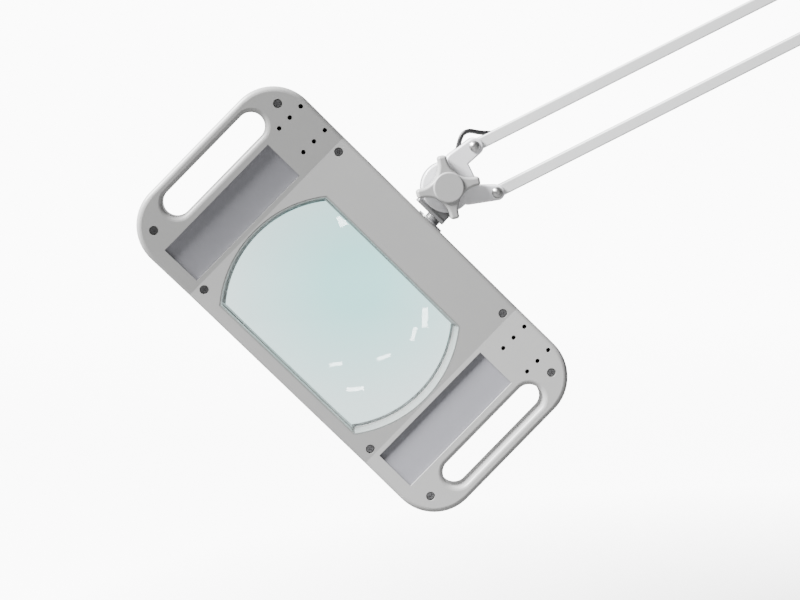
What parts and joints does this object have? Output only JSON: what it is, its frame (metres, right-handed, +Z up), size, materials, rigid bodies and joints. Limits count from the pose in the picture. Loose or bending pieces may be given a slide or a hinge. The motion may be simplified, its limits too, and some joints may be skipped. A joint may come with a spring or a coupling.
{
  "type": "magnifying lamp",
  "caption": "Magnifying lamp: wide truncated-disc lens between two LED wings with hand slots, on a two-stage parallel arm with a table clamp.",
  "frame": {"origin": "middle of the clamp's upper pad, on the face that rests on the table top", "axes": "+Z up; the arms lie in the XZ plane with the head on the -X side; the lens faces -Y"},
  "size_m": [1.0492, 0.0682, 0.713],
  "materials": {
    "shell": "fine satin light grey moulded plastic",
    "bezel": "polished light grey",
    "lens": "clear, very slightly green",
    "gasket": "matt black",
    "diffuser": "frosted opal",
    "screw_steel": "zinc plated",
    "pivot_steel": "bright plated",
    "board": "white solder mask",
    "led": "yellow phosphor",
    "components": "mixed electronic parts",
    "switch_black": "satin black",
    "dark_metal": "dark grey, satin",
    "casting": "light grey, satin paint",
    "knob": "light grey, satin",
    "brass_insert": "turned",
    "arm_paint": "off-white gloss paint",
    "clamp_paint": "off-white gloss paint",
    "pad_rubber": "matt",
    "nylon": "natural white",
    "spring_steel": "bright wire",
    "cord": "black, satin",
    "adapter": "black, fine spark texture"
  },
  "bodies": {
    "clamp": {"clamp_frame": "clamp_paint", "clamp_pad": "pad_rubber", "cord_coil": "cord", "cord_tail": "cord", "adapter_case": "adapter", "adapter_pins": "screw_steel"},
    "lock": {"lock_knob": "knob"},
    "shoe": {"clamp_shoe": "screw_steel"},
    "screw": {"clamp_screw": "screw_steel"},
    "handle": {"clamp_handle": "screw_steel"},
    "base": {"base_bracket": "arm_paint", "base_pivot_screws": "pivot_steel", "base_pivot_nuts": "pivot_steel", "base_spring_pin": "pivot_steel", "swivel_post": "screw_steel", "post_washer": "nylon", "lead_gland": "cord", "cord_lead": "cord"},
    "lower_outer": {"lower_bar_outer": "arm_paint", "lower_spring_pin": "pivot_steel", "lower_springs": "spring_steel", "cable_lower": "cord"},
    "lower_inner": {"lower_bar_inner": "arm_paint"},
    "elbow": {"elbow_plate_front": "arm_paint", "elbow_plate_back": "arm_paint", "elbow_spacer": "screw_steel", "elbow_clip": "nylon", "elbow_pivot_screws": "pivot_steel", "elbow_pivot_nuts": "pivot_steel", "elbow_spring_pin": "pivot_steel"},
    "upper_top": {"upper_bar_top": "arm_paint", "upper_spring_pin": "pivot_steel", "upper_springs": "spring_steel", "cable_upper": "cord"},
    "upper_bottom": {"upper_bar_bottom": "arm_paint"},
    "bracket": {"head_casting": "casting", "tilt_bolt": "screw_steel", "head_pivot_screws": "pivot_steel", "head_pivot_nuts": "pivot_steel"},
    "knob": {"tilt_knob": "knob", "knob_insert": "brass_insert"},
    "yoke": {"neck_yoke": "dark_metal"},
    "head": {"front_shell": "shell", "back_shell": "shell", "case_screws": "screw_steel", "lens": "lens", "lens_gasket": "gasket", "lens_bezel": "bezel", "diffuser_left": "diffuser", "diffuser_right": "diffuser", "led_boards": "board", "led_chips": "led", "driver_board": "board", "driver_parts": "components", "switch_housing": "switch_black", "neck_stud": "dark_metal", "neck_washer": "dark_metal", "neck_nut": "screw_steel"},
    "rocker": {"switch_rocker": "switch_black"}
  },
  "joints": [
    {"name": "base_swivel", "type": "hinge", "parent": "clamp", "child": "base", "pos_m": [0, 0, 0.042], "axis": [0, 0, 1], "range_deg": [-90, 90], "deforming": ["cord_lead"]},
    {"name": "lower_arm_tilt", "type": "hinge", "parent": "base", "child": "lower_outer", "pos_m": [0.02127, 0, 0.07875], "axis": [0, -1, 0], "range_deg": [-50, 20], "deforming": ["lower_springs", "cable_lower"]},
    {"name": "lower_link", "type": "hinge", "parent": "base", "child": "lower_inner", "pos_m": [-0.02127, 0, 0.07125], "axis": [0, -1, 0], "range_deg": [-50, 20]},
    {"name": "elbow_level", "type": "hinge", "parent": "lower_outer", "child": "elbow", "pos_m": [-0.0534, 0, 0.50222], "axis": [0, -1, 0], "range_deg": [-20, 50], "deforming": ["cable_lower"]},
    {"name": "upper_arm_tilt", "type": "hinge", "parent": "elbow", "child": "upper_top", "pos_m": [-0.12931, 0, 0.5498], "axis": [0, -1, 0], "range_deg": [-55, 35], "deforming": ["upper_springs", "cable_upper"]},
    {"name": "upper_link", "type": "hinge", "parent": "elbow", "child": "upper_bottom", "pos_m": [-0.11003, 0, 0.51114], "axis": [0, -1, 0], "range_deg": [-55, 35]},
    {"name": "bracket_level", "type": "hinge", "parent": "upper_top", "child": "bracket", "pos_m": [-0.51413, 0, 0.35793], "axis": [0, -1, 0], "range_deg": [-35, 55], "deforming": ["cable_upper"]},
    {"name": "head_tilt", "type": "hinge", "parent": "bracket", "child": "yoke", "pos_m": [-0.53751, 0, 0.32415], "axis": [0, -1, 0], "range_deg": [-90, 33]},
    {"name": "head_swivel", "type": "hinge", "parent": "yoke", "child": "head", "pos_m": [-0.54791, 0, 0.2979], "axis": [0.7015, 0, 0.7126], "range_deg": [-100, 100]},
    {"name": "tilt_knob_turn", "type": "hinge", "parent": "bracket", "child": "knob", "pos_m": [-0.53751, 0, 0.32415], "axis": [0, -1, 0], "range_deg": [-360, 360]},
    {"name": "switch_rock", "type": "hinge", "parent": "head", "child": "rocker", "pos_m": [-0.6113, 0.0115, 0.31961], "axis": [0.7015, 0, 0.7126], "range_deg": [-13, 0]},
    {"name": "lock_turn", "type": "hinge", "parent": "clamp", "child": "lock", "pos_m": [0.02, 0, 0.027], "axis": [1, 0, 0], "range_deg": [-360, 360]},
    {"name": "shoe_travel", "type": "slide", "parent": "clamp", "child": "shoe", "axis": [0, 0, 1], "range_m": [0, 0.044]},
    {"name": "clamp_turn", "type": "hinge", "parent": "shoe", "child": "screw", "pos_m": [0, 0, -0.06], "axis": [0, 0, 1], "range_deg": [0, 7920]},
    {"name": "handle_slide", "type": "slide", "parent": "screw", "child": "handle", "axis": [1, 0, 0], "range_m": [-0.024, 0.024]}
  ],
  "couplings": [
    {"joint": "lower_link", "follows": "lower_arm_tilt", "ratio": 1},
    {"joint": "elbow_level", "follows": "lower_arm_tilt", "ratio": -1},
    {"joint": "upper_link", "follows": "upper_arm_tilt", "ratio": 1},
    {"joint": "bracket_level", "follows": "upper_arm_tilt", "ratio": -1},
    {"joint": "clamp_turn", "follows": "shoe_travel", "rad_per_m": 3141.6}
  ]
}
